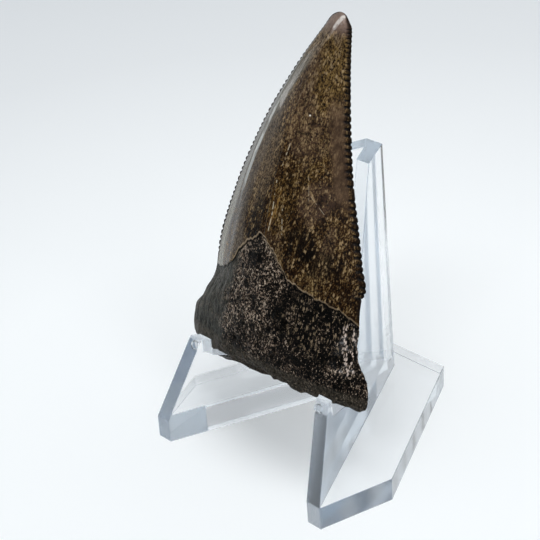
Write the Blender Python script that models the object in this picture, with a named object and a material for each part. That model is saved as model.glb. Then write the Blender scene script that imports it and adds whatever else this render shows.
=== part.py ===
# A large shark tooth leaning back on a clear plastic stand, one object for each separate piece.
# Metres, +Z up, the front of the stand toward -Y, its base centred on the origin.

import math

import bmesh
import bpy
from mathutils import Vector

MM = 0.001

# Stand: two upright fins that meet at the back in a spine, each with a flat foot strip on its outer side
STAND_HEIGHT = 44.5 * MM
BASE_DEPTH = 39.4 * MM
BASE_THICKNESS = 4.0 * MM
FOOT_INNER = 15.05 * MM
FOOT_OUTER = 17.65 * MM
INNER_SPLAY = math.radians(25.0)
OUTER_SPLAY = math.radians(23.1)
OUTER_DRAFT = math.radians(1.8)
FOOT_STRIP_REACH = 3.8 * MM
FOOT_STRIP_SETBACK = 11.8 * MM
BACK_EDGE_HALF = 9.5 * MM
LIP_HEIGHT = 17.7 * MM
LIP_FRONT = 6.2 * MM
LIP_BACK = 7.7 * MM
LIP_BACK_DROP = 0.3 * MM
SPINE_BACK = 4.7 * MM
SEAT_DROP = 1.5 * MM
CENTRE_OVERLAP = 2.0 * MM
WELD = 0.01 * MM

# Lean of the rest edges, and the point on them where the tooth's height is counted from
LEAN = math.radians(22.0)
REST_FORWARD = 3.95 * MM
REST_HEIGHT = 12.9 * MM

# Tooth: heights are counted along its axis, sideways places from its axis, depths from the rest edges
TOOTH_OFFSET = -4.9 * MM
CONTACT_GAP = 0.3 * MM
ROOT_FOOT = SEAT_DROP - CONTACT_GAP
TIP_HEIGHT = 54.9 * MM
TIP_ROUND = 1.9 * MM
SERRATION_START = 15.8 * MM
SERRATION_END = 53.4 * MM
SERRATIONS = 42
SERRATION_DEPTH = 0.45 * MM
SERRATION_REACH = 0.16
EDGE_DEPTH = 2.0 * MM
ENAMEL_STEP = 0.35 * MM
ENAMEL_SIDE_HEIGHT = 10.5 * MM
ENAMEL_BACK_RISE = 2.0 * MM
ROOT_BLEND = 6.0 * MM
ROOT_SQUARENESS = 0.6
ROOT_LEFT_THINNESS = 0.26
ROOT_RIGHT_THINNESS = 0.3
ROOT_EDGE_ROUND = 0.9 * MM
ROOT_EDGE_INSET = 0.07

# Side outlines of the tooth, height and sideways place in millimetres
LEFT_OUTLINE = [
    (-1.2, -15.9), (0.5, -16.5), (3.0, -16.5), (5.5, -15.2), (8.5, -14.8),
    (15.0, -15.4), (24.0, -14.3), (35.0, -11.4), (45.0, -7.1), (54.9, -1.5),
]
RIGHT_OUTLINE = [
    (-1.2, 20.6), (1.5, 20.6), (3.6, 19.8), (5.8, 17.5), (8.4, 16.2), (14.6, 14.9),
    (15.8, 15.3), (19.0, 13.9), (24.5, 11.5), (31.3, 8.5), (45.4, 4.0), (54.9, 1.1),
]

# Lower edge of the crown's enamel on the front face, sideways place and height in millimetres
ENAMEL_EDGE = [
    (-15.0, 10.5), (-8.5, 12.8), (-6.4, 15.0), (-4.2, 17.9), (-1.2, 20.3),
    (2.3, 18.2), (5.0, 14.9), (8.8, 13.4), (12.3, 12.3), (15.0, 10.5),
]
ENAMEL_HALF_WIDTH = 15.0 * MM

# Bulge of the crown's front face, hollow left behind it, and thickness of the root, by height
CROWN_BULGE = [(8.0, 7.0), (18.0, 6.6), (35.0, 4.6), (45.0, 3.0), (54.9, 0.8)]
BACK_BULGE = [(8.0, 1.65), (35.0, 1.4), (45.0, 1.0), (54.9, 0.4)]
ROOT_THICKNESS = [(-1.2, 7.0), (2.0, 7.9), (8.0, 8.8), (20.0, 8.4)]

FRONT_COLUMNS = 14
BACK_COLUMNS = 6
RINGS_PER_SERRATION = 4
SHOULDER_RINGS = 6
ROOT_RINGS = 11
TIP_RINGS = 4


def clear_scene():
    for item in list(bpy.data.objects):
        bpy.data.objects.remove(item, do_unlink=True)


def make_material(name, colour, roughness, metallic=0.0, transmission=0.0, ior=1.5):
    material = bpy.data.materials.new(name)
    material.use_nodes = True
    shader = material.node_tree.nodes["Principled BSDF"]
    shader.inputs["Base Color"].default_value = colour
    shader.inputs["Roughness"].default_value = roughness
    shader.inputs["Metallic"].default_value = metallic
    shader.inputs["Transmission Weight"].default_value = transmission
    shader.inputs["IOR"].default_value = ior
    material.diffuse_color = colour
    return material


def add_mesh_object(name, points, faces, material):
    mesh = bpy.data.meshes.new(name)
    mesh.from_pydata(points, [], faces)
    item = bpy.data.objects.new(name, mesh)
    bpy.context.collection.objects.link(item)
    mesh.materials.append(material)
    shell = bmesh.new()
    shell.from_mesh(mesh)
    bmesh.ops.recalc_face_normals(shell, faces=shell.faces)
    shell.to_mesh(mesh)
    shell.free()
    return item


def curve_value(points, place):
    # A smooth curve through a few points that never overshoots them
    knots = [(a * MM, b * MM) for a, b in points]
    if place <= knots[0][0]:
        return knots[0][1]
    if place >= knots[-1][0]:
        return knots[-1][1]
    slopes = []
    for i in range(len(knots) - 1):
        slopes.append((knots[i + 1][1] - knots[i][1]) / (knots[i + 1][0] - knots[i][0]))
    tangents = [slopes[0]]
    for before, after in zip(slopes, slopes[1:]):
        tangents.append(2.0 * before * after / (before + after) if before * after > 0.0 else 0.0)
    tangents.append(slopes[-1])
    k = max(i for i in range(len(knots) - 1) if knots[i][0] <= place)
    span = knots[k + 1][0] - knots[k][0]
    f = (place - knots[k][0]) / span
    start = (2 * f ** 3 - 3 * f ** 2 + 1) * knots[k][1] + (f ** 3 - 2 * f ** 2 + f) * span * tangents[k]
    end = (3 * f ** 2 - 2 * f ** 3) * knots[k + 1][1] + (f ** 3 - f ** 2) * span * tangents[k + 1]
    return start + end


def smooth_step(value):
    value = min(max(value, 0.0), 1.0)
    return value * value * (3.0 - 2.0 * value)


def signed_power(value, power):
    return math.copysign(abs(value) ** power, value)


def wall_sides(y, z):
    # Sideways places of a fin's inner and outer face, at a depth and a height on the stand
    behind_front = y + BASE_DEPTH / 2
    inner = FOOT_INNER - behind_front * math.tan(INNER_SPLAY)
    outer = FOOT_OUTER - behind_front * math.tan(OUTER_SPLAY) - (z - BASE_THICKNESS) * math.tan(OUTER_DRAFT)
    return inner, outer


def seat_point(depth, rise):
    # A point in the stand's side view from its depth before the rest edges and its rise along them
    y = -REST_FORWARD - depth * math.cos(LEAN) + rise * math.sin(LEAN)
    z = REST_HEIGHT + depth * math.sin(LEAN) + rise * math.cos(LEAN)
    return y, z


def fin_profile():
    front = -BASE_DEPTH / 2
    spine = BASE_DEPTH / 2 - SPINE_BACK
    lip_back = front + LIP_BACK
    seat_depth = (-REST_FORWARD - SEAT_DROP * math.sin(LEAN) - lip_back) / math.cos(LEAN)
    rest_length = (STAND_HEIGHT - REST_HEIGHT) / math.cos(LEAN)
    return [
        (front, 0.0),
        (front, BASE_THICKNESS),
        (front + LIP_FRONT, LIP_HEIGHT),
        (lip_back, LIP_HEIGHT - LIP_BACK_DROP),
        seat_point(seat_depth, -SEAT_DROP),
        seat_point(0.0, -SEAT_DROP),
        seat_point(0.0, rest_length),
        (spine, STAND_HEIGHT),
        (spine, 0.0),
    ]


def prism(name, first_side, second_side, material):
    # A closed solid between two outlines with the same number of points
    count = len(first_side)
    faces = [list(range(count)), list(range(count, 2 * count))]
    faces += [(i, (i + 1) % count, (i + 1) % count + count, i + count) for i in range(count)]
    return add_mesh_object(name, first_side + second_side, faces, material)


def make_fin(material):
    # The side view ruled across the slanting wall, so that every cut runs straight across the stand
    profile = fin_profile()
    inner = [(wall_sides(y, z)[0], y, z) for y, z in profile]
    outer = [(wall_sides(y, z)[1], y, z) for y, z in profile]
    return prism("stand", inner, outer, material)


def make_foot_strip(material):
    front = -BASE_DEPTH / 2
    back = BASE_DEPTH / 2
    notch = front + FOOT_INNER / math.tan(INNER_SPLAY)
    plan = [
        (FOOT_INNER, front),
        (FOOT_OUTER, front),
        (FOOT_OUTER + FOOT_STRIP_REACH, front + FOOT_STRIP_SETBACK),
        (BACK_EDGE_HALF, back),
        (-CENTRE_OVERLAP, back),
        (-CENTRE_OVERLAP, notch + CENTRE_OVERLAP / math.tan(INNER_SPLAY)),
    ]
    lower = [(x, y, 0.0) for x, y in plan]
    upper = [(x, y, BASE_THICKNESS) for x, y in plan]
    return prism("foot_strip", lower, upper, material)


def make_stand():
    # The right half is built past the middle, then cut there and mirrored
    clear = make_material("clear plastic", (0.82, 0.88, 0.95, 1.0), 0.04, transmission=1.0, ior=1.49)
    stand = make_fin(clear)
    strip = make_foot_strip(clear)
    joint = stand.modifiers.new("Fuse", "BOOLEAN")
    joint.operation = "UNION"
    joint.object = strip
    strip.hide_render = True
    strip.display_type = "WIRE"
    mirror = stand.modifiers.new("Other half", "MIRROR")
    mirror.use_bisect_axis[0] = True
    mirror.merge_threshold = WELD
    return stand


def enamel_edge_height(angle):
    # Where the glossy crown ends: a peak on the front face, a low arch on the back
    if math.sin(angle) < 0.0:
        return ENAMEL_SIDE_HEIGHT + ENAMEL_BACK_RISE * math.sin(angle) ** 2
    return curve_value(ENAMEL_EDGE, math.cos(angle) * ENAMEL_HALF_WIDTH)


def tooth_point(angle, height, serration=0.0, step=0.0, shrink=1.0):
    # One point of the tooth's skin; angle 0 is its right edge, a quarter turn its front
    left = curve_value(LEFT_OUTLINE, height)
    right = curve_value(RIGHT_OUTLINE, height)
    middle = (left + right) / 2
    half = (right - left) / 2
    across = math.cos(angle)
    bulge = math.sin(angle)
    rounding = 1.0
    if height > TIP_HEIGHT - TIP_ROUND:
        rounding = math.sqrt(max(1.0 - ((height - TIP_HEIGHT + TIP_ROUND) / TIP_ROUND) ** 2, 0.0))
    depth = curve_value(CROWN_BULGE if bulge > 0.0 else BACK_BULGE, height)
    blade_x = half * across * rounding
    blade_depth = math.copysign(bulge ** 2, bulge) * depth * rounding
    blade_depth -= step * max(bulge, 0.0)
    edge = max(1.0 - (1.0 - abs(across)) / SERRATION_REACH, 0.0)
    blade_x += math.copysign(serration, across) * edge * rounding
    sideways = signed_power(across, ROOT_SQUARENESS)
    thinness = ROOT_RIGHT_THINNESS if sideways > 0.0 else ROOT_LEFT_THINNESS
    thickness = curve_value(ROOT_THICKNESS, height) - CONTACT_GAP
    thickness *= 1.0 - thinness * sideways ** 2
    block_x = half * sideways
    block_depth = CONTACT_GAP + thickness * (1.0 + signed_power(bulge, ROOT_SQUARENESS)) / 2 - EDGE_DEPTH
    blend = smooth_step((enamel_edge_height(angle) - height) / ROOT_BLEND)
    x = middle + (blade_x + (block_x - blade_x) * blend) * shrink
    centre = thickness / 2 - EDGE_DEPTH
    skin = blade_depth + (block_depth - blade_depth) * blend
    y = -(EDGE_DEPTH + skin * shrink + centre * (1.0 - shrink))
    return Vector((x, y, height))


def root_rings(angles):
    rings = []
    for ring in range(ROOT_RINGS):
        share = ring / (ROOT_RINGS - 1)
        row = []
        for angle in angles:
            top = enamel_edge_height(angle) - ENAMEL_STEP / 2
            height = -ROOT_FOOT + (top + ROOT_FOOT) * share
            lift = max(ROOT_EDGE_ROUND - (height + ROOT_FOOT), 0.0) / ROOT_EDGE_ROUND
            shrink = 1.0 - ROOT_EDGE_INSET * lift ** 2
            row.append(tooth_point(angle, height, step=ENAMEL_STEP, shrink=shrink))
        rings.append(row)
    return rings


def crown_rings(angles):
    serration_rings = SERRATIONS * RINGS_PER_SERRATION
    heights = []
    for ring in range(SHOULDER_RINGS):
        share = ring / SHOULDER_RINGS
        heights.append((ENAMEL_SIDE_HEIGHT + (SERRATION_START - ENAMEL_SIDE_HEIGHT) * share, 0.0))
    for ring in range(serration_rings + 1):
        height = SERRATION_START + (SERRATION_END - SERRATION_START) * ring / serration_rings
        lobe = math.sqrt(abs(math.sin(math.pi * ring / RINGS_PER_SERRATION)))
        heights.append((height, SERRATION_DEPTH * (lobe - 0.5)))
    for ring in range(1, TIP_RINGS):
        share = math.sin(math.pi / 2 * ring / TIP_RINGS)
        heights.append((SERRATION_END + (TIP_HEIGHT - SERRATION_END) * share, 0.0))
    rings = []
    for height, serration in heights:
        share = (height - ENAMEL_SIDE_HEIGHT) / (TIP_HEIGHT - ENAMEL_SIDE_HEIGHT)
        row = []
        for angle in angles:
            base = enamel_edge_height(angle)
            row.append(tooth_point(angle, base + (TIP_HEIGHT - base) * share, serration))
        rings.append(row)
    return rings


def make_tooth():
    material = make_material("fossil enamel and root", (0.13, 0.09, 0.06, 1.0), 0.35)
    angles = [math.pi * i / FRONT_COLUMNS for i in range(FRONT_COLUMNS)]
    angles += [math.pi + math.pi * i / BACK_COLUMNS for i in range(BACK_COLUMNS)]
    rings = root_rings(angles) + crown_rings(angles)
    count = len(angles)
    points = [point for ring in rings for point in ring]
    faces = []
    for r in range(len(rings) - 1):
        low = r * count
        for i in range(count):
            j = (i + 1) % count
            faces.append((low + i, low + j, low + count + j, low + count + i))
    foot = len(points)
    points.append(sum(rings[0], Vector()) / count)
    points.append(tooth_point(math.pi / 2, TIP_HEIGHT))
    last = (len(rings) - 1) * count
    for i in range(count):
        j = (i + 1) % count
        faces.append((j, i, foot))
        faces.append((last + i, last + j, foot + 1))
    tooth = add_mesh_object("tooth", points, faces, material)
    for face in tooth.data.polygons:
        face.use_smooth = True
    tooth.location = (TOOTH_OFFSET, -REST_FORWARD, REST_HEIGHT)
    tooth.rotation_euler = (-LEAN, 0.0, 0.0)
    return tooth


clear_scene()
make_stand()
make_tooth()
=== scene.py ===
# Fossil shark tooth on its clear stand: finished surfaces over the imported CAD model

import math

import bpy
import numpy as np
from mathutils import Matrix, Vector, noise


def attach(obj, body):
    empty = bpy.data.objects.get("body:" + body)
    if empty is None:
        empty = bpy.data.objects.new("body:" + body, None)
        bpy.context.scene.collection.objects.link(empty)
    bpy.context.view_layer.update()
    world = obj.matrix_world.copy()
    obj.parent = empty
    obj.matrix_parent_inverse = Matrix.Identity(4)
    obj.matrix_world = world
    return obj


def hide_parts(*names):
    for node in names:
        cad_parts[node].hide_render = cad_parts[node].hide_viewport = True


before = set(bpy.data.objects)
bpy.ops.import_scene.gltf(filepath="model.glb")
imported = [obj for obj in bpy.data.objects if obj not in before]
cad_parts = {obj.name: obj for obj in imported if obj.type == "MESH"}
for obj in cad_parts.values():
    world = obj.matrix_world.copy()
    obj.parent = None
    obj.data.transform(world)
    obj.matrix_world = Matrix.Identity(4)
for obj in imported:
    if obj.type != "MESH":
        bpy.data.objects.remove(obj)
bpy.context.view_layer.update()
mm = 0.001


class Link:
    # a shader socket; sums on it add Math nodes
    def __init__(self, tree, socket=None):
        self.tree = tree
        self.socket = socket

    def node(self, kind, settings=None, sockets=None, output=0):
        made = self.tree.nodes.new(kind)
        for name, value in (settings or {}).items():
            if name == "stops":
                ramp = made.color_ramp
                while len(ramp.elements) < len(value):
                    ramp.elements.new(0.5)
                for element, (place, tone) in zip(ramp.elements, value):
                    element.position = place
                    element.color = (*tone, 1.0)
            else:
                setattr(made, name, value)
        for name, value in (sockets or {}).items():
            if isinstance(value, Link):
                self.tree.links.new(value.socket, made.inputs[name])
            else:
                made.inputs[name].default_value = value
        return Link(self.tree, made.outputs[output])

    def beside(self, output):
        # another output of the same node
        return Link(self.tree, self.socket.node.outputs[output])

    def math(self, operation, first, second=0.0):
        return self.node("ShaderNodeMath", {"operation": operation}, {0: first, 1: second})

    def __add__(self, other):
        return self.math("ADD", self, other)

    def __sub__(self, other):
        return self.math("SUBTRACT", self, other)

    def __rsub__(self, other):
        return self.math("SUBTRACT", other, self)

    def __mul__(self, other):
        return self.math("MULTIPLY", self, other)

    def __truediv__(self, other):
        return self.math("DIVIDE", self, other)

    def __rtruediv__(self, other):
        return self.math("DIVIDE", other, self)

    __radd__ = __add__
    __rmul__ = __mul__

    def absolute(self):
        return self.math("ABSOLUTE", self)

    def larger(self, other):
        return self.math("MAXIMUM", self, other)

    def smaller(self, other):
        return self.math("MINIMUM", self, other)

    def step(self, low, high):
        # 0 below low, 1 above high, smooth between them; high may be the lower one
        return self.node("ShaderNodeMapRange", {"interpolation_type": "SMOOTHSTEP"},
                         {"Value": self, "From Min": low, "From Max": high})

    def ramp(self, stops):
        return self.node("ShaderNodeValToRGB", {"stops": stops}, {"Fac": self})

    def mix(self, first, second):
        # this value is the share of the second colour; 6, 7 and 2 are the colour sockets
        return self.node("ShaderNodeMix", {"data_type": "RGBA"},
                         {0: self, 6: first, 7: second}, output=2)


def newMaterial(name, settings):
    # the material, its shader and the place on the piece
    material = bpy.data.materials.new(name)
    material.use_nodes = True
    shader = material.node_tree.nodes["Principled BSDF"]
    for socket, value in settings.items():
        shader.inputs[socket].default_value = value
    place = Link(material.node_tree).node("ShaderNodeTexCoord", output="Object")
    return material, shader, place


def feed(shader, socket, link):
    link.tree.links.new(link.socket, shader.inputs[socket])


def colour(red, green, blue):
    # screen colour, 0 to 255, to the light values that sockets take
    values = [c / 255 for c in (red, green, blue)]
    return tuple(c / 12.92 if c <= 0.04045 else ((c + 0.055) / 1.055) ** 2.4 for c in values)


def rgba(*screen):
    return (*colour(*screen), 1.0)


def deselectAll():
    if bpy.context.mode != "OBJECT":
        bpy.ops.object.mode_set(mode="OBJECT")
    bpy.ops.object.select_all(action="DESELECT")


def makeActive(piece):
    deselectAll()
    piece.select_set(True)
    bpy.context.view_layer.objects.active = piece


def applyModifiers(piece):
    makeActive(piece)
    for modifier in list(piece.modifiers):
        bpy.ops.object.modifier_apply(modifier=modifier.name)


# the tooth in millimetres: x across it, z up its slant, y back from its face;
# a line is a list of (place, value), an outline a list of (height, x)
tooth = {
    "origin": (-4.9, -3.95, 12.9),  # where its axis meets the stand's rest edges
    "lean": 22.0,
    "contactGap": 0.3,  # between the root and the stand
    "edgeDepth": 2.0,  # the cutting edges lie this far in front of the stand's rest edges

    # columns and rings of its grid
    "frontColumns": 136,
    "backColumns": 70,
    "columnSpread": 0.3,  # draws the columns away from the edges
    "footRings": 14,
    "rootRings": 98,
    "crownRings": 345,

    # crown
    "leftOutline": [(-2.2, -15.7), (-1.2, -16.3), (0.5, -16.5), (3.0, -16.5), (5.5, -15.2),
                    (8.5, -14.8), (15.0, -15.4), (24.0, -14.3), (35.0, -11.4), (45.0, -7.1),
                    (54.9, -1.5)],
    "rightOutline": [(-1.2, 20.6), (1.5, 20.6), (3.6, 19.8), (5.8, 17.5), (8.4, 16.2),
                     (14.6, 14.9), (15.8, 15.3), (19.0, 13.9), (24.5, 11.5), (31.3, 8.5),
                     (45.4, 4.0), (54.9, 1.7)],
    "faceOutline": [(-1.2, 20.6), (1.5, 20.6), (3.6, 19.8), (5.8, 17.9), (8.4, 16.5),
                    (12.0, 15.7), (16.0, 14.9), (19.0, 13.9), (24.5, 11.5), (31.3, 8.5),
                    (45.4, 4.0), (54.9, 1.7)],  # the right outline without its notch at the enamel
    "notchReach": 1.6,  # how far in that notch is felt
    "crownBulge": [(8.0, 7.0), (18.0, 6.6), (35.0, 4.6), (45.0, 3.0), (54.9, 0.8)],
    "backBulge": [(8.0, 1.65), (35.0, 1.4), (45.0, 1.0), (54.9, 0.4)],
    "shoulder": {"start": 0.62, "lowStart": 0.42, "length": 0.14,
                 "lowBelow": 32.0, "lowOver": 17.0, "faceSlope": 0.2, "sideSlope": 0.13,
                 "flankSlope": 0.48},  # the left ridge; low on the crown it starts further in
    "tipHeight": 54.9,
    "tipRound": 1.9,
    "tipSlope": 0.32,  # the worn tip falls to the right
    "tipCentre": -1.2,
    "tipFrom": 52.0,

    # lower edge of the enamel
    "enamelEdge": [(-15.0, 10.5), (-12.4, 11.0), (-8.5, 12.8), (-6.7, 14.3), (-5.6, 16.3),
                   (-3.4, 18.4), (-1.8, 19.3), (-1.2, 20.2), (-0.3, 19.8), (0.8, 19.1),
                   (2.3, 18.0), (3.7, 16.4), (5.0, 14.9), (7.2, 14.0), (9.8, 13.1),
                   (12.3, 12.3), (13.3, 11.8), (15.0, 10.6)],
    "enamelReach": 15.0,
    "enamelWaves": [(0.12, 3.1, 1.0), (0.08, 7.3, 0.0), (0.05, 17.0, 0.0)],
    "backEnamel": (10.5, 2.0),  # height at the sides of the back, and its rise to the middle
    "enamelStep": 0.3,
    "enamelStepWidth": 0.35,

    # serrations: places along the height, and what they share
    "rightTeeth": {"start": 14.7, "end": 53.2, "pitch": 1.0, "worn": (28.6,), "seed": 3,
                   "faintFrom": 40.0},
    "leftTeeth": {"start": 12.6, "end": 53.0, "pitch": 0.88, "worn": (), "seed": 8,
                  "faintFrom": 46.0},
    "pitchRange": (0.86, 1.14),
    "sizeRange": (0.8, 1.15),
    "finerFrom": 40.0,  # above it they come closer together
    "wornStretch": 1.8,
    "wornWidth": 1.4,  # the wider ones are lower too
    "toothReach": 0.3,  # how far a serration stands out past its notches
    "notchWidth": 0.2,
    "notchDepth": 0.2,
    "notchLength": 0.8,  # how far a notch runs in over the face

    # root
    "footHeight": -1.25,
    "footReach": 18.0,
    "footWaves": [(0.16, 1.3, 0.6), (0.10, 3.4, 0.0)],
    "footHollow": 0.25,
    "rimRound": 0.9,
    "rootThickness": [(-1.2, 7.0), (2.0, 7.9), (8.0, 8.8), (20.0, 8.4)],
    "leftThinness": 0.26,
    "rightThinness": 0.3,
    "rootSquareness": 0.6,
    "rootBlend": 6.0,  # the blade turns into the root's block over this height

    # width, height and offset of the noises that roughen the surface
    "relief": {"lumps": (5.0, 0.28, 2.0), "knobs": (1.7, 0.13, 9.0),
               "grains": (0.62, 0.085, 21.0), "fibres": (0.75, 0.09, 33.0),
               "pits": (1.0, 0.5, 47.0), "swell": (6.0, 0.10, 60.0),
               "ripples": (1.6, 0.022, 71.0)},
    "pitLevel": 0.11,  # only the deeper parts of that noise make pits

    # finish
    "gloss": {"IOR": 1.5, "Specular IOR Level": 0.06, "Coat Roughness": 0.1, "Coat IOR": 1.4},
    "bumpDepth": 0.3,
    # size of the mottle in the painted shade on the left serrations' tops
    "serrationShadeSize": 0.25,
    "ridge": [(-6.4, 41.2), (-7.4, 37.6), (-8.15, 34.2), (-8.75, 30.8), (-9.15, 27.6),
              (-9.38, 24.6), (-9.3, 21.8), (-8.8, 19.4)],  # (x, z) down the left ridge
    "scratches": [((-1.0, 34.3), (-1.2, 30.9), 0.09, 1.0), ((-1.4, 28.5), (-0.45, 23.4), 0.1, 1.0),
                  ((-0.45, 23.4), (-0.3, 20.4), 0.1, 1.0), ((0.8, 25.3), (2.2, 21.1), 0.07, 1.0),
                  ((4.2, 27.9), (7.0, 25.6), 0.05, 0.5), ((3.2, 30.5), (4.6, 26.4), 0.05, 0.4)],
    "enamelStops": [(0.53, colour(14, 6, 1)), (0.60, colour(44, 25, 9)), (0.64, colour(80, 55, 28)),
                    (0.68, colour(114, 86, 49)), (0.75, colour(194, 164, 114))],
    "rootStops": [(0.505, colour(1, 1, 0)), (0.555, colour(12, 9, 6)), (0.59, colour(54, 43, 34)),
                  (0.625, colour(128, 109, 92)), (0.68, colour(222, 202, 180))],
    "highStops": [(0.40, colour(112, 88, 58)), (0.50, colour(140, 114, 74)),
                  (0.60, colour(182, 164, 136))],
    "greyStops": [(0.35, colour(50, 36, 28)), (0.65, colour(96, 76, 64))],
    "quietStops": [(0.35, colour(62, 46, 34)), (0.65, colour(106, 84, 64))],
    # painted sheen beside the crown's left ridge
    "ridgeSheenStops": [(0.35, colour(66, 56, 46)), (0.65, colour(112, 102, 90))],
    # painted grey reflection on the crown's left flank
    "flankSheenStops": [(0.38, colour(92, 86, 74)), (0.62, colour(178, 173, 158))],
    # painted grey reflection on the root's left flank
    "rootFlankSheenStops": [(0.36, colour(20, 20, 17)), (0.64, colour(84, 84, 77))],
    "footStops": [(0.4, colour(26, 23, 18)), (0.62, colour(96, 88, 76))],
    # painted shade on the tops of the left serrations
    "serrationShadeStops": [(0.35, colour(10, 9, 8)), (0.65, colour(38, 35, 31))],
}


def curveValues(points, places):
    # a smooth curve through a few points that never overshoots them
    knots = np.array([p[0] for p in points], float)
    values = np.array([p[1] for p in points], float)
    slopes = np.diff(values) / np.diff(knots)
    tangents = np.concatenate(([slopes[0]], np.zeros(len(slopes) - 1), [slopes[-1]]))
    for i in range(1, len(slopes)):
        if slopes[i - 1] * slopes[i] > 0:
            tangents[i] = 2 * slopes[i - 1] * slopes[i] / (slopes[i - 1] + slopes[i])
    places = np.clip(places, knots[0], knots[-1])
    k = np.clip(np.searchsorted(knots, places, side="right") - 1, 0, len(slopes) - 1)
    span = knots[k + 1] - knots[k]
    f = (places - knots[k]) / span
    start = (2 * f ** 3 - 3 * f ** 2 + 1) * values[k]
    start = start + (f ** 3 - 2 * f ** 2 + f) * span * tangents[k]
    end = (3 * f ** 2 - 2 * f ** 3) * values[k + 1] + (f ** 3 - f ** 2) * span * tangents[k + 1]
    return start + end


def smooth(value):
    value = np.clip(value, 0.0, 1.0)
    return value * value * (3 - 2 * value)


def waves(places, parts):
    # a sum of sine waves, each with its height, pace and start
    return sum(height * np.sin(places * pace + start) for height, pace, start in parts)


def noiseField(points, width, offset):
    # one value for each point, about -1 to 1; width is the size of a lump
    shift = Vector((offset, offset * 1.7, -offset))
    return np.array([noise.noise(Vector(p) / width + shift) for p in points.tolist()])


def vertexValues(piece, name):
    values = np.zeros(len(piece.data.vertices) * 3)
    piece.data.vertices.foreach_get(name, values)
    return values.reshape(-1, 3)


def serrationProfile(heights, side):
    # 0 in a notch, 1 on top of a serration, and how much of a serration is left
    generator = np.random.default_rng(side["seed"])
    bounds = [side["start"]]
    while bounds[-1] < side["end"]:
        fine = 1.0 - 0.35 * smooth((bounds[-1] - tooth["finerFrom"]) / 12.0)
        pitch = side["pitch"] * fine * generator.uniform(*tooth["pitchRange"])
        if any(abs(bounds[-1] - place) < pitch / 2 for place in side["worn"]):
            pitch *= tooth["wornStretch"]
        bounds.append(bounds[-1] + pitch)
    bounds = np.array(bounds)
    k = np.clip(np.searchsorted(bounds, heights, side="right") - 1, 0, len(bounds) - 2)
    width = bounds[k + 1] - bounds[k]
    f = np.clip((heights - bounds[k]) / width, 0.0, 1.0)
    fromNotch = np.minimum(f, (1 - f) * 1.5) * width  # steeper above than below
    top = 1 - np.exp(-(fromNotch / tooth["notchWidth"]) ** 1.7)
    size = generator.uniform(*tooth["sizeRange"], len(bounds))[k]
    size = size * np.where(width > tooth["wornWidth"], 0.75, 1.0)
    size = size * (1 - 0.6 * smooth((heights - side["faintFrom"]) / 3.0))
    inside = (heights > bounds[0] - 0.2) & (heights < bounds[-1] + 0.2)
    fade = smooth((heights - bounds[0] + 0.3) / 0.5) * smooth((bounds[-1] + 0.4 - heights) / 2.0)
    return top, size * fade * inside


def toothGrid():
    # the angle round the tooth and the ring number of each point of the starting sphere
    columns = tooth["frontColumns"] + tooth["backColumns"]
    rings = tooth["footRings"] + tooth["rootRings"] + tooth["crownRings"]
    deselectAll()
    bpy.ops.mesh.primitive_uv_sphere_add(segments=columns, ring_count=rings, radius=1.0)
    piece = bpy.context.object
    bpy.ops.object.mode_set(mode="EDIT")
    bpy.ops.mesh.select_all(action="SELECT")
    bpy.ops.mesh.flip_normals()  # the shaping mirrors the sphere and turns them out again
    bpy.ops.object.mode_set(mode="OBJECT")
    places = vertexValues(piece, "co")
    ring = np.rint((np.arcsin(np.clip(places[:, 2], -1, 1)) / math.pi + 0.5) * rings)
    turn = np.mod(np.arctan2(places[:, 1], places[:, 0]) / (2 * math.pi), 1.0)
    column = np.mod(np.rint(turn * columns), columns)
    front = column / tooth["frontColumns"]
    back = (column - tooth["frontColumns"]) / tooth["backColumns"]
    share = np.where(front <= 1.0, front, back)
    share = share + tooth["columnSpread"] * np.sin(2 * math.pi * share) / (2 * math.pi)
    angle = math.pi * np.where(front <= 1.0, share, 1.0 + share)
    return piece, angle, ring


def enamelHeight(angle):
    across = np.cos(angle) * tooth["enamelReach"]
    wander = waves(across, tooth["enamelWaves"])
    wander = wander * smooth((tooth["enamelReach"] - np.abs(across)) / 2.0)
    front = curveValues(tooth["enamelEdge"], across) + wander
    side, rise = tooth["backEnamel"]
    return np.where(np.sin(angle) < 0, side + rise * np.sin(angle) ** 2, front)


def footHeight(across):
    # the broken lower edge of the root stands a little higher left of its middle
    lifted = 0.62 * smooth((across + 6.5) / 2.5) * smooth((4.5 - across) / 3.0)
    lowered = 0.85 * smooth((-7.5 - across) / 4.0)
    steps = waves(across, tooth["footWaves"]) * smooth((19.5 - np.abs(across)) / 3.0)
    return tooth["footHeight"] + lifted - lowered + steps


def shoulderSection(across, start):
    # height of the left half of the face over its edge: bulging face, ridge, straight flank
    ridge = tooth["shoulder"]
    stops = np.linspace(0, 1, 400)
    slope = ridge["faceSlope"] + ridge["sideSlope"] * smooth(stops / 0.6)
    slope = slope + ridge["flankSlope"] * smooth((stops - start) / ridge["length"])
    slope = slope * smooth(stops / 0.12)
    fall = np.cumsum(slope) / np.sum(slope)
    return 1 - np.interp(across, stops, fall)


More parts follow.
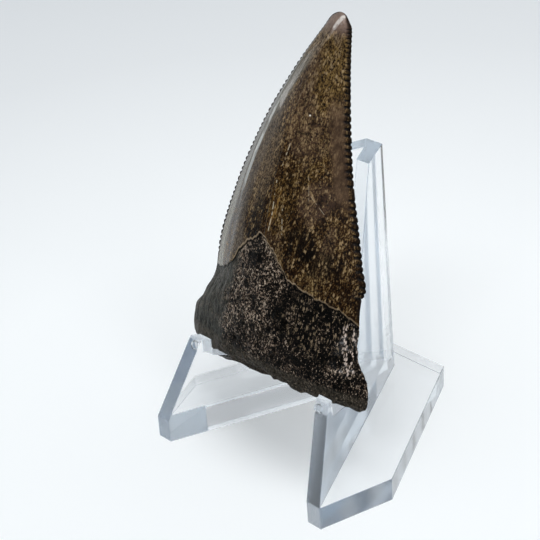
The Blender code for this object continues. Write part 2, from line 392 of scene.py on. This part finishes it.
def shapeTooth():
    # every point's place on the tooth, and where that is: across it, round it, over the enamel's
    # edge, in from the cutting edge, up its serration and how large that is
    piece, angle, ring = toothGrid()
    piece.name = piece.data.name = "fossilTooth"
    across = np.cos(angle)
    bulge = np.sin(angle)
    firstCrownRing = tooth["footRings"] + tooth["rootRings"]
    onFoot = np.clip(ring / tooth["footRings"], 0.0, 1.0)
    inRoot = np.clip((ring - tooth["footRings"]) / tooth["rootRings"], 0.0, 1.0)
    inCrown = np.clip((ring - firstCrownRing) / tooth["crownRings"], 0.0, 1.0)
    edge = enamelHeight(angle)
    foot = footHeight(across * tooth["footReach"])
    height = foot + (edge - foot) * inRoot
    inCrownHeight = edge + (tooth["tipHeight"] - edge) * inCrown
    height = np.where(ring > firstCrownRing, inCrownHeight, height)
    above = height - edge

    left = curveValues(tooth["leftOutline"], height)
    right = curveValues(tooth["faceOutline"], height)
    middle = (left + right) / 2
    half = (right - left) / 2
    inward = half * (1 - np.abs(across))
    kink = curveValues(tooth["rightOutline"], height) - right
    kink = kink * np.exp(-(inward / tooth["notchReach"]) ** 2) * (across > 0)
    fromTip = (height - tooth["tipHeight"] + tooth["tipRound"]) / tooth["tipRound"]
    rounding = np.sqrt(np.clip(1 - np.clip(fromTip, 0, 1) ** 2, 0, 1))

    # blade of the crown
    ridge = tooth["shoulder"]
    depth = np.where(bulge > 0, curveValues(tooth["crownBulge"], height),
                     curveValues(tooth["backBulge"], height))
    lowShare = smooth((ridge["lowBelow"] - height) / ridge["lowOver"])
    leftSection = shoulderSection(-across, ridge["start"]) * (1 - lowShare)
    leftSection = leftSection + shoulderSection(-across, ridge["lowStart"]) * lowShare
    section = np.where((bulge > 0) & (across < 0), leftSection, bulge ** 2)
    step = 1 - smooth(above / tooth["enamelStepWidth"] + 0.5)
    step = tooth["enamelStep"] * np.maximum(bulge, 0) * step
    bladeDepth = np.sign(bulge) * section * depth * rounding - step

    # its serrated edges
    topRight, sizeRight = serrationProfile(height, tooth["rightTeeth"])
    topLeft, sizeLeft = serrationProfile(height, tooth["leftTeeth"])
    top = np.where(across > 0, topRight, topLeft)
    size = np.where(across > 0, sizeRight, sizeLeft)
    nearEdge = np.exp(-(inward / (0.45 * tooth["notchLength"])) ** 1.5) * (above > 0)
    reach = tooth["toothReach"] * size * (top - 0.8) * nearEdge
    bladeX = half * across * rounding + np.sign(across) * reach + kink
    notch = np.exp(-((inward - 0.35) / (0.5 * tooth["notchLength"])) ** 2)
    notch = tooth["notchDepth"] * size * (1 - top) * notch * (above > 0)
    bladeDepth = bladeDepth - np.sign(bulge) * notch * np.minimum(np.abs(bulge) * 6, 1)

    # block of the root
    squareness = tooth["rootSquareness"]
    thinness = np.where(across > 0, tooth["rightThinness"], tooth["leftThinness"])
    thickness = curveValues(tooth["rootThickness"], height) - tooth["contactGap"]
    thickness = thickness * (1 - thinness * across ** 2)
    roundness = (1 - np.abs(across) ** (1 / squareness)) ** squareness
    blockDepth = tooth["contactGap"] + thickness * (1 + np.sign(bulge) * roundness) / 2
    blockDepth = blockDepth - tooth["edgeDepth"]
    blend = smooth(-above / tooth["rootBlend"])
    x = bladeX + (half * across + kink - bladeX) * blend
    skin = bladeDepth + (blockDepth - bladeDepth) * blend

    # underside, drawn in to its middle with a rounded rim, and the worn tip
    lift = np.clip(1 - (height - foot) / tooth["rimRound"], 0, 1)
    shrink = (1 - 0.07 * lift ** 2) * onFoot
    centre = thickness / 2 - tooth["edgeDepth"]
    worn = smooth((height - tooth["tipFrom"]) / (tooth["tipHeight"] - tooth["tipFrom"]))
    z = height - tooth["tipSlope"] * (x - tooth["tipCentre"]) * worn
    z = z - tooth["footHollow"] * (1 - onFoot ** 2)
    y = -(tooth["edgeDepth"] + skin * shrink + centre * (1 - shrink))
    points = np.stack([middle + x * shrink, y, z], axis=1)
    return piece, points, across, bulge, above, inward, top, size


def weatherTooth(piece, points, above, bulge):
    # lumps, pits and fibres along the surface's own normals
    piece.data.vertices.foreach_set("co", points.ravel())
    piece.data.update()
    normals = vertexValues(piece, "normal")

    def relief(name, flatten=1.0):
        width, height, offset = tooth["relief"][name]
        return noiseField(points * np.array([1.0, 1.0, flatten]), width, offset) * height

    root = smooth(-above / 0.6)
    flank = smooth((-9.5 - points[:, 0]) / 4.0)  # worn smoother
    pits = np.maximum(relief("pits") - tooth["pitLevel"], 0)
    rough = relief("lumps") + relief("knobs") * (1 - 0.6 * flank) + relief("fibres", 0.16)
    rough = rough + (relief("grains") - pits) * (1 - 0.75 * flank)
    glossy = relief("swell", 0.45) + relief("ripples", 0.16)
    glossy = glossy * np.minimum(np.abs(bulge) * 1.5, 1)
    offset = root * rough + (1 - root) * glossy
    return points + normals * offset[:, None]


def placeTooth(points):
    lean = math.radians(tooth["lean"])
    x, y, z = points.T
    turnedY = y * math.cos(lean) + z * math.sin(lean)
    turnedZ = -y * math.sin(lean) + z * math.cos(lean)
    return (np.stack([x, turnedY, turnedZ], axis=1) + np.array(tooth["origin"])) * mm


def addAttribute(piece, name, values):
    attribute = piece.data.attributes.new(name, "FLOAT", "POINT")
    attribute.data.foreach_set("value", np.asarray(values, np.float32))


fossilTooth, points, across, bulge, above, inward, top, size = shapeTooth()
points = weatherTooth(fossilTooth, points, above, bulge)
fossilTooth.data.vertices.foreach_set("co", placeTooth(points).ravel())
addAttribute(fossilTooth, "aboveEnamel", above)
addAttribute(fossilTooth, "fromEdge", inward * np.sign(across))
addAttribute(fossilTooth, "notch", (1 - top) * np.minimum(size, 1.0))
addAttribute(fossilTooth, "front", np.clip(bulge * 12 + 0.5, 0, 1))
makeActive(fossilTooth)
bpy.ops.object.shade_smooth()
print("tooth shaped:", len(fossilTooth.data.polygons), "faces")


def toothMaterial():
    material, shader, place = newMaterial("fossil enamel and root", tooth["gloss"])
    local = place.node("ShaderNodeMapping", {"vector_type": "TEXTURE"},
                       {"Vector": place, "Location": [c * mm for c in tooth["origin"]],
                        "Rotation": (-math.radians(tooth["lean"]), 0, 0),
                        "Scale": (mm, mm, mm)})  # the tooth's own x and z in millimetres
    x = local.node("ShaderNodeSeparateXYZ", sockets={"Vector": local}, output="X")
    z = x.beside("Z")
    above, fromEdge, notch, front = (
        place.node("ShaderNodeAttribute", {"attribute_name": name}, output="Fac")
        for name in ("aboveEnamel", "fromEdge", "notch", "front"))
    inward = fromEdge.absolute()  # fromEdge is below 0 on the left half

    def stretched(height):
        # a pattern on this is drawn out up the tooth
        return local.node("ShaderNodeVectorMath", {"operation": "MULTIPLY"},
                          {0: local, 1: (1.0, 1.0, height)})

    def cloud(size, detail, roughness=0.5, vector=local):
        return vector.node("ShaderNodeTexNoise", sockets={
            "Vector": vector, "Scale": 1 / size, "Detail": detail, "Roughness": roughness})

    def patch(centre, radii, soft=0.6):
        # 1 inside an oval on the face, fading out past its rim
        dx = (x - centre[0]) / radii[0]
        dz = (z - centre[1]) / radii[1]
        return (dx * dx + dz * dz).step(1 + soft, 1 - soft)

    def scratch(first, last, width):
        # 1 along a thin straight line on the face
        long = (last[0] - first[0], last[1] - first[1])
        dx = x - first[0]
        dz = z - first[1]
        share = (dx * long[0] + dz * long[1]) / (long[0] ** 2 + long[1] ** 2)
        share = share.larger(0.0).smaller(1.0)
        dx = dx - share * long[0]
        dz = dz - share * long[1]
        return (dx * dx + dz * dz).step(width ** 2, (width * 0.4) ** 2)

    def trail(places, width):
        # 1 along a bent line through the places
        whole = scratch(places[0], places[1], width)
        for first, last in zip(places[1:], places[2:]):
            whole = whole.larger(scratch(first, last, width))
        return whole

    def specks(size, share, shift, vector=local):
        # 1 on scattered grains; share is how many of the cells carry one
        moved = vector.node("ShaderNodeVectorMath", {"operation": "ADD"},
                            {0: vector, 1: (shift, shift, shift)})
        cells = moved.node("ShaderNodeTexVoronoi", sockets={"Vector": moved, "Scale": 1 / size})
        chance = cells.node("ShaderNodeSeparateColor", sockets={0: cells.beside("Color")})
        return chance.step(1 - share, 1 - share * 0.8) * cells.step(0.75, 0.35)

    # enamel: mottled brown, darker low down and paler towards the tip
    upright = stretched(0.45)
    grain = cloud(0.22, 3.0, 0.8, upright)
    mottle = cloud(1.1, 4.0, 0.65, upright)
    zones = cloud(5.0, 2.0, 0.5, upright)
    tone = grain * 0.85 + mottle * 0.33 + zones * 0.24 - 0.085
    enamel = tone.ramp(tooth["enamelStops"])
    low = z.step(40.0, 19.0)
    middle = patch((1.6, 34.0), (3.4, 6.0), 0.8)
    enamel = (low * 0.5 + middle * 0.22).mix(enamel, rgba(22, 11, 4))
    high = z.step(38.0, 47.0) * grain.step(0.42, 0.6)
    highTone = (mottle * 0.6 + zones * 0.4).ramp(tooth["highStops"])
    enamel = (high * 0.9).mix(enamel, highTone)

    # stains on the face
    ochre = (patch((1.8, 45.5), (2.6, 7.0)) + patch((3.6, 33.0), (1.3, 6.0)) * 0.5
             + patch((0.6, 25.5), (2.2, 5.0)) * 0.5) * grain.step(0.40, 0.62)
    enamel = (ochre * 0.45).mix(enamel, rgba(108, 84, 34))
    grey = (patch((-1.6, 43.0), (1.8, 7.0)) + patch((0.4, 36.5), (2.2, 3.5))
            + patch((5.5, 27.0), (2.4, 3.0)) + zones.step(0.5, 0.6) * z.step(14.0, 22.0) * 0.8)
    enamel = (grey.smaller(1.0) * 0.5).mix(enamel, mottle.ramp(tooth["greyStops"]))
    paler = patch((-4.8, 31.0), (2.4, 8.0), 0.8) * grain.step(0.36, 0.6)
    enamel = (paler * 0.55).mix(enamel, rgba(134, 114, 88))
    dark = (patch((5.2, 20.6), (2.4, 2.4)) + patch((9.0, 18.4), (3.0, 2.0))
            + patch((-3.4, 21.0), (1.6, 4.0))) * mottle.step(0.7, 0.46)
    enamel = (dark * 0.8).mix(enamel, rgba(12, 6, 2))
    quiet = fromEdge.step(0.4, 0.8) * fromEdge.step(3.0, 1.8)  # an even band up the right edge
    quiet = quiet * z.step(25.0, 29.0) * z.step(44.0, 40.0)
    enamel = (quiet * 0.85).mix(enamel, mottle.ramp(tooth["quietStops"]))

    # specks, streaks, scratches and cracks
    lightSpecks = specks(0.26, 0.16, 0.0, upright) * mottle.step(0.38, 0.56) * (1 - quiet * 0.8)
    enamel = (lightSpecks * 0.6).mix(enamel, rgba(184, 156, 116))
    darkSpecks = specks(0.3, 0.22, 5.0) * (1 - quiet * 0.8) * (1 - high * 0.4)
    enamel = (darkSpecks * 0.75).mix(enamel, rgba(9, 5, 3))
    streaks = cloud(0.3, 2.0, 0.6, stretched(0.12)).step(0.5, 0.62)
    streaks = streaks * patch((-0.5, 24.8), (0.8, 4.2))
    enamel = (streaks * 0.7).mix(enamel, rgba(150, 112, 58))
    broken = cloud(0.7, 1.0).step(0.44, 0.54)
    lines = sum(scratch(first, last, width) * strength
                for first, last, width, strength in tooth["scratches"]) * front
    enamel = (lines * broken * 0.85).mix(enamel, rgba(212, 196, 168))
    chip = patch((0.69, 39.07), (0.13, 0.13), 0.3) * front
    enamel = chip.mix(enamel, rgba(236, 228, 214))
    splits = local.node("ShaderNodeTexVoronoi", {"feature": "DISTANCE_TO_EDGE"},
                        {"Vector": stretched(0.6), "Scale": 0.42})
    splits = splits.step(0.022, 0.004) * zones.step(0.46, 0.56) * (1 - quiet)
    enamel = (splits * 0.7).mix(enamel, rgba(8, 4, 2))

    # the worn, shiny tip: paler, with a painted highlight streak and a dark rim up its right
    # outline
    tipZone = z.step(50.6, 52.8) * (mottle * 0.6 + 0.45)
    enamel = tipZone.mix(enamel, rgba(132, 110, 100))
    # painted highlight: a short bright streak down the tip
    tipHighlight = scratch((0.5, 53.9), (0.0, 52.2), 0.42)
    tipHighlight = (tipHighlight + scratch((0.0, 52.2), (-0.5, 50.4), 0.3) * 0.2) * front
    enamel = (tipHighlight * (broken * 0.4 + 0.35)).mix(enamel, rgba(228, 220, 212))
    tipRim = fromEdge.step(0.1, 0.2) * fromEdge.step(0.75, 0.4) * z.step(50.6, 51.6)
    enamel = (tipRim * 0.8).mix(enamel, rgba(52, 32, 20))

    # the left flank: fine lines along it under a painted grey reflection that is darker higher up,
    # a painted sheen band beside its ridge, and a painted highlight streak down the ridge
    ridge = tooth["ridge"]
    # painted sheen: a smooth grey-brown band just in from the left ridge
    ridgeSheenBand = trail([(px + 0.9, pz) for px, pz in ridge] + [(-7.0, 17.0)], 2.6) * front
    enamel = (ridgeSheenBand * 0.6).mix(enamel, grain.ramp(tooth["ridgeSheenStops"]))
    along = fromEdge.node("ShaderNodeCombineXYZ", sockets={0: fromEdge, 2: z * 0.05})
    flankLines = cloud(0.22, 2.0, 0.6, along)
    flank = fromEdge.step(-0.2, -0.6) * fromEdge.step(-4.6, -3.0) * (z.step(50.0, 44.0) * 0.9 + 0.1)
    # painted reflection: the flank is greyed for its grazing reflection, over its real fine lines
    flankSheenTone = (flankLines * 0.7 + grain * 0.3).ramp(tooth["flankSheenStops"])
    enamel = (flank * 0.8).mix(enamel, flankSheenTone)
    # the painted reflection is darker higher up the flank
    enamel = (flank * z.step(20.0, 30.0) * 0.5).mix(enamel, rgba(52, 47, 40))
    # painted highlight: a bright streak down the left ridge
    ridgeHighlight = trail(ridge, 0.52) * front * z.step(41.4, 36.0) * z.step(19.0, 27.0)
    ridgeHighlight = ridgeHighlight * cloud(2.4, 2.0, 0.6, upright).step(0.3, 0.55) * (flankLines * 1.2 + 0.15)
    enamel = (ridgeHighlight * 0.82).mix(enamel, rgba(216, 218, 214))

    # painted shade on the serrations along both edges and in their notches
    shadedBeads = inward.step(0.6, 0.2) * above.step(0.3, 1.2)
    enamel = (shadedBeads * 0.9).mix(enamel, rgba(22, 14, 9))
    nearEdge = fromEdge.step(1.2, 0.5) * fromEdge.step(-0.1, 0.0) + inward.step(0.8, 0.4)
    notches = (notch.step(0.1, 0.5) * nearEdge).smaller(1.0)
    enamel = (notches * 0.95).mix(enamel, rgba(5, 2, 1))

    # root: pale grains on black, blackest on the right
    salt = cloud(0.25, 3.0, 0.8, stretched(0.6))
    clumps = cloud(2.2, 3.0, 0.6)
    blackSide = (patch((11.0, 9.5), (7.5, 6.5), 0.5) + z.step(4.5, 1.5) * 0.7
                 + patch((-1.6, 16.5), (1.9, 3.0), 0.8) * 0.55)
    rootTone = salt * 1.1 + clumps * 0.28 - blackSide * 0.07 - 0.146
    rootColour = rootTone.ramp(tooth["rootStops"])
    pale = specks(0.26, 0.2, 11.0) * clumps.step(0.34, 0.56) * (1 - blackSide * 0.9)
    pale = pale.larger(0.0)
    rootColour = (pale * 0.6).mix(rootColour, rgba(176, 150, 128))
    black = specks(0.45, 0.4, 17.0)
    rootColour = (black * 0.7).mix(rootColour, rgba(5, 4, 3))
    rootFlank = (x + (clumps - 0.5) * 3.0 - z * 0.12 + 1.4).step(-4.6, -7.4)
    # painted reflection: the root's left flank is greyed for its grazing reflection, over its real
    # striations
    rootFlankSheenTone = cloud(0.5, 3.0, 0.65, stretched(0.2)).ramp(tooth["rootFlankSheenStops"])
    rootColour = (rootFlank * 0.85).mix(rootColour, rootFlankSheenTone)
    # pale vertical streaks on the right of the root: fibres, partly a painted highlight along their
    # cracks
    ribsAndGlints = cloud(0.32, 2.0, 0.6, stretched(0.3)).step(0.57, 0.66)
    ribsAndGlints = ribsAndGlints * patch((11.0, 9.5), (5.5, 4.4))
    rootColour = (ribsAndGlints * 0.75).mix(rootColour, rgba(156, 136, 110))
    rootColour = (z.step(1.4, 0.7) * 0.7).mix(rootColour, salt.ramp(tooth["footStops"]))
    # painted highlight: bright glints down the wet right ridge of the root
    paintedGlints = specks(0.26, 0.42, 23.0, stretched(0.35))
    paintedGlints = paintedGlints * scratch((14.8, 10.0), (17.2, 4.4), 1.0) * front
    rootColour = (paintedGlints * 0.85).mix(rootColour, rgba(232, 212, 198))

    # where they meet: a pale chipped rim over a groove darkened with painted shade
    isCrown = above.step(-0.06, 0.06)
    base = isCrown.mix(rootColour, enamel)
    lit = x.step(-7.6, -6.4) * (1 - x.step(5.0, 9.0) * 0.55)
    rim = above.step(-0.05, 0.05) * above.step(0.36, 0.2) * lit
    innerRim = above.step(-0.62, -0.54) * above.step(-0.38, -0.46)
    innerRim = innerRim * x.step(-1.6, -1.0) * x.step(4.5, 2.6)
    base = ((rim + innerRim * 0.8) * 0.85).mix(base, rgba(168, 146, 118))
    # painted shade in the groove under the enamel's edge
    shadedGroove = above.step(0.02, -0.08) * above.step(-0.42, -0.2)
    base = (shadedGroove * 0.85).mix(base, rgba(6, 4, 3))
    feed(shader, "Base Color", base)

    shine = 0.38 - isCrown * 0.12 + (grain - 0.5) * 0.5
    shine = shine + shadedBeads * isCrown * 0.25 + flank * isCrown * (flankLines - 0.5) * 0.5
    feed(shader, "Roughness", shine)
    polish = (1 - shadedBeads) * (tipZone * 0.75 + 0.14 + ridgeSheenBand * 0.12 + ridgeHighlight * 0.5)
    wet = patch((16.5, 7.0), (2.4, 3.6)) * clumps.step(0.45, 0.55) * front
    feed(shader, "Coat Weight", polish * isCrown + wet * (1 - isCrown))

    rootRelief = salt + cloud(0.8, 2.0) * 0.8 + pale * 0.3 - black * 0.5
    rootRelief = rootRelief * (1 - isCrown) * (1 - rootFlank * 0.6)
    crownRelief = grain * 0.2 - darkSpecks * 0.12 + lines * 0.1
    crownRelief = crownRelief * isCrown * (1 - flank * 0.7)
    feed(shader, "Normal", place.node("ShaderNodeBump", sockets={
        "Strength": 1.0, "Distance": tooth["bumpDepth"] * mm, "Height": rootRelief + crownRelief}))
    return material


def serrationMaterial():
    # painted shade: the dull tops of the left serrations made near-black
    settings = {"Roughness": 0.75, "Specular IOR Level": 0.0}
    material, shader, place = newMaterial("dull serration", settings)
    serrationShade = place.node("ShaderNodeTexNoise", sockets={
        "Vector": place, "Scale": 1 / (tooth["serrationShadeSize"] * mm), "Detail": 2.0})
    feed(shader, "Base Color", serrationShade.ramp(tooth["serrationShadeStops"]))
    return material


def dullSerrations(piece, inward, top, across, above):
    # faces on the tops of the left serrations take the dull material
    dull = (across < 0) & (above > 0.6) & (inward < 0.3 + 0.35 * top)
    corners = np.zeros(len(piece.data.loops), np.int32)
    piece.data.loops.foreach_get("vertex_index", corners)
    starts = np.zeros(len(piece.data.polygons), np.int32)
    piece.data.polygons.foreach_get("loop_start", starts)
    cornerCount = np.diff(np.append(starts, len(corners)))
    share = np.add.reduceat(dull[corners].astype(float), starts) / cornerCount
    piece.data.polygons.foreach_set("material_index", (share > 0.45).astype(np.int32))


fossilTooth.data.materials.append(toothMaterial())
fossilTooth.data.materials.append(serrationMaterial())
dullSerrations(fossilTooth, inward, top, across, above)
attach(fossilTooth, "root")
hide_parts("tooth")
print("tooth finished")


# the stand in millimetres
stand = {
    "mergeDistance": 0.01,
    "edgeRound": 0.22,
    "roundSegments": 3,
    "markPlace": (13.1, -13.95, 16.65),  # round mould mark on the front of the right leg
    "markSides": 28,
    "markRadius": 0.78,
    "markHeight": 0.2,
    "markRim": 0.2,
    "markHollow": 0.7,  # as a share of its height
    "legLean": 24.33,
    "wallArea": 60.0,  # the smaller faces are the moulded edges
    "clear": {"Base Color": (1, 1, 1, 1), "IOR": 1.49, "Transmission Weight": 1.0},
    "wallRoughness": 0.07,
    "edgeRoughness": 0.25,
    "hazeScale": 90.0,
    "hazeRange": 0.02,
    "waveStrength": 0.02,
    "waveDepth": 0.2,
    "tint": rgba(150, 198, 230),
    "tintDensity": 9.0,
}


def addGateMark(piece, side):
    # small round mark of the mould on the front of a leg, with a low rim
    x, y, z = stand["markPlace"]
    lean = math.radians(stand["legLean"])
    front = Vector((0, -math.cos(lean), math.sin(lean)))
    deselectAll()
    bpy.ops.mesh.primitive_cylinder_add(
        vertices=stand["markSides"], radius=stand["markRadius"] * mm,
        depth=2 * stand["markHeight"] * mm, location=Vector((side * x, y, z)) * mm,
        rotation=front.to_track_quat("Z", "Y").to_euler())
    mark = bpy.context.object
    bpy.ops.object.transform_apply(location=True, rotation=True, scale=True)
    bpy.ops.object.mode_set(mode="EDIT")
    bpy.ops.mesh.select_all(action="DESELECT")
    bpy.ops.object.mode_set(mode="OBJECT")
    for face in mark.data.polygons:
        face.select = face.normal.dot(front) > 0.99
    bpy.ops.object.mode_set(mode="EDIT")
    bpy.ops.mesh.select_mode(type="FACE")
    bpy.ops.mesh.inset(thickness=stand["markRim"] * mm,
                       depth=-stand["markHeight"] * stand["markHollow"] * mm)
    bpy.ops.object.mode_set(mode="OBJECT")
    joined = piece.modifiers.new("gate mark", "BOOLEAN")
    joined.operation = "UNION"
    joined.solver = "EXACT"
    joined.object = mark
    applyModifiers(piece)
    bpy.data.objects.remove(mark)


def shapeStand():
    # a finished copy of the stand's own solid
    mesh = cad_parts["stand"].data.copy()
    mesh.name = "clearStand"
    mesh.materials.clear()
    piece = bpy.data.objects.new("clearStand", mesh)
    bpy.context.scene.collection.objects.link(piece)
    makeActive(piece)
    bpy.ops.object.mode_set(mode="EDIT")
    bpy.ops.mesh.select_all(action="SELECT")
    bpy.ops.mesh.remove_doubles(threshold=stand["mergeDistance"] * mm)
    bpy.ops.mesh.dissolve_limited(angle_limit=math.radians(0.5))
    bpy.ops.mesh.normals_make_consistent(inside=False)
    bpy.ops.object.mode_set(mode="OBJECT")
    rounding = piece.modifiers.new("rounded edges", "BEVEL")
    rounding.width = stand["edgeRound"] * mm
    rounding.segments = stand["roundSegments"]
    rounding.limit_method = "ANGLE"
    rounding.angle_limit = math.radians(10)
    applyModifiers(piece)
    for side in (-1, 1):
        addGateMark(piece, side)
    makeActive(piece)
    bpy.ops.object.shade_flat()
    piece.visible_shadow = False  # clear plastic lets the light through to the floor
    piece.visible_diffuse = False
    return piece


def standMaterial(name, roughness):
    material, shader, place = newMaterial(name, stand["clear"])
    haze = place.node("ShaderNodeTexNoise", sockets={
        "Vector": place, "Scale": stand["hazeScale"], "Detail": 1.0})
    feed(shader, "Roughness", haze * stand["hazeRange"] + roughness)
    feed(shader, "Normal", haze.node("ShaderNodeBump", sockets={
        "Strength": stand["waveStrength"], "Distance": stand["waveDepth"] * mm, "Height": haze}))
    absorb = place.node("ShaderNodeVolumeAbsorption", sockets={
        "Color": stand["tint"], "Density": stand["tintDensity"]})
    feed(material.node_tree.nodes["Material Output"], "Volume", absorb)
    return material


def satinEdges(piece):
    # the moulded edges are a little hazy; the walls, the flat foot and the marks are polished
    x, y, z = stand["markPlace"]
    marks = [Vector((side * x, y, z)) * mm for side in (-1, 1)]
    for face in piece.data.polygons:
        isFlat = abs(face.normal.z) > 0.97
        isWall = face.area > stand["wallArea"] * mm * mm
        fromMark = min((face.center - mark).length for mark in marks)
        isPolished = isFlat or isWall or fromMark < 1.02 * stand["markRadius"] * mm
        face.material_index = 0 if isPolished else 1


clearStand = shapeStand()
clearStand.data.materials.append(standMaterial("clear plastic", stand["wallRoughness"]))
clearStand.data.materials.append(standMaterial("clear plastic edge", stand["edgeRoughness"]))
satinEdges(clearStand)
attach(clearStand, "root")
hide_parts("stand")
print("stand finished:", len(clearStand.data.polygons), "faces")


# floor, light and camera in metres
studio = {
    "floorSize": 3.0,
    "floorDrop": 0.0002,
    "floorReach": 0.4,
    # painted light and shade: the floor is brightest in the middle and darker by distance from it,
    # out to floorReach, as the light falls off
    "floorFalloffStops": [(0.16, colour(247, 250, 251)), (0.40, colour(228, 231, 233)),
                   (0.72, colour(216, 220, 223)), (1.0, colour(206, 210, 213))],
    # from the dark room in front to the bright tent behind
    "skyStops": [(0.30, (0.13, 0.18, 0.23)), (0.53, (0.20, 0.28, 0.36)),
                 (0.66, (0.84, 0.88, 0.92)), (1.0, (0.92, 0.94, 0.96))],
    "skyTilt": 0.4,
    "skyStrength": 0.54,
    "lamps": {  # place, what it points at, size and power
        "top": ((0.0, 0.1, 0.8), (0, 0, 0.02), (0.5, 0.5), 3.0),
        "front": ((0.1, -0.45, 0.75), (0, 0, 0.03), (0.25, 0.25), 0.8),
        "right": ((0.65, -0.09, 0.6), (0, 0, 0.03), (0.3, 0.3), 0.85),
        "left strip": ((-1.2, -0.09, 0.16), (0, 0, 0.05), (0.07, 0.3), 0.7),
    },
    "cameraPlace": (0.1302, -0.1329, 0.1418),
    "azimuth": 46.44,
    "elevation": 31.20,
    "roll": -4.46,
    "lens": 95.23,
    "clearBounces": 28,  # light turns many times inside the clear plastic
}


def makeFloor():
    deselectAll()
    bpy.ops.mesh.primitive_plane_add(size=studio["floorSize"],
                                     location=(0, 0, -studio["floorDrop"]))
    floor = bpy.context.object
    floor.name = "floor"
    bpy.ops.object.transform_apply(location=True, rotation=True, scale=True)
    settings = {"Roughness": 0.6, "Specular IOR Level": 0.2}
    material, shader, place = newMaterial("pale floor", settings)
    distance = place.node("ShaderNodeVectorMath", {"operation": "LENGTH"}, {0: place}, "Value")
    feed(shader, "Base Color", (distance / studio["floorReach"]).ramp(studio["floorFalloffStops"]))
    floor.data.materials.append(material)


def makeWorld():
    world = bpy.data.worlds.new("soft studio")
    bpy.context.scene.world = world
    world.use_nodes = True
    background = world.node_tree.nodes["Background"]
    direction = Link(world.node_tree).node("ShaderNodeTexCoord", output="Generated")
    upward = direction.node("ShaderNodeSeparateXYZ", sockets={0: direction}, output="Z")
    backward = upward.beside("Y")
    sky = ((upward + backward * studio["skyTilt"]) * 0.5 + 0.5).ramp(studio["skyStops"])
    feed(background, "Color", sky)
    background.inputs["Strength"].default_value = studio["skyStrength"]


def softLight(name, place, target, size, power):
    light = bpy.data.lights.new(name, "AREA")
    light.shape = "RECTANGLE"
    light.size, light.size_y = size
    light.energy = power
    lamp = bpy.data.objects.new(name, light)
    bpy.context.scene.collection.objects.link(lamp)
    lamp.location = place
    lamp.rotation_euler = (Vector(target) - Vector(place)).to_track_quat("-Z", "Y").to_euler()


def makeCamera():
    a, e, r = (math.radians(studio[key]) for key in ("azimuth", "elevation", "roll"))
    back = Vector((math.sin(a) * math.cos(e), -math.cos(a) * math.cos(e), math.sin(e)))
    right = Vector((math.cos(a), math.sin(a), 0))
    up = back.cross(right)
    rolledRight = math.cos(r) * right + math.sin(r) * up
    rolledUp = math.cos(r) * up - math.sin(r) * right
    data = bpy.data.cameras.new("camera")
    data.lens = studio["lens"]
    data.sensor_width = 36.0
    data.clip_start = 0.01
    data.clip_end = 20.0
    camera = bpy.data.objects.new("camera", data)
    bpy.context.scene.collection.objects.link(camera)
    turn = Matrix((rolledRight, rolledUp, back)).transposed().to_4x4()
    camera.matrix_world = Matrix.Translation(studio["cameraPlace"]) @ turn
    bpy.context.scene.camera = camera


makeFloor()
makeWorld()
for name, values in studio["lamps"].items():
    softLight(name, *values)
makeCamera()
bpy.context.scene.view_settings.view_transform = "Standard"
for limit in ("max_bounces", "glossy_bounces", "transmission_bounces"):
    setattr(bpy.context.scene.cycles, limit, studio["clearBounces"])
bpy.context.scene.cycles.caustics_reflective = False
bpy.context.scene.cycles.caustics_refractive = False
print("studio ready")
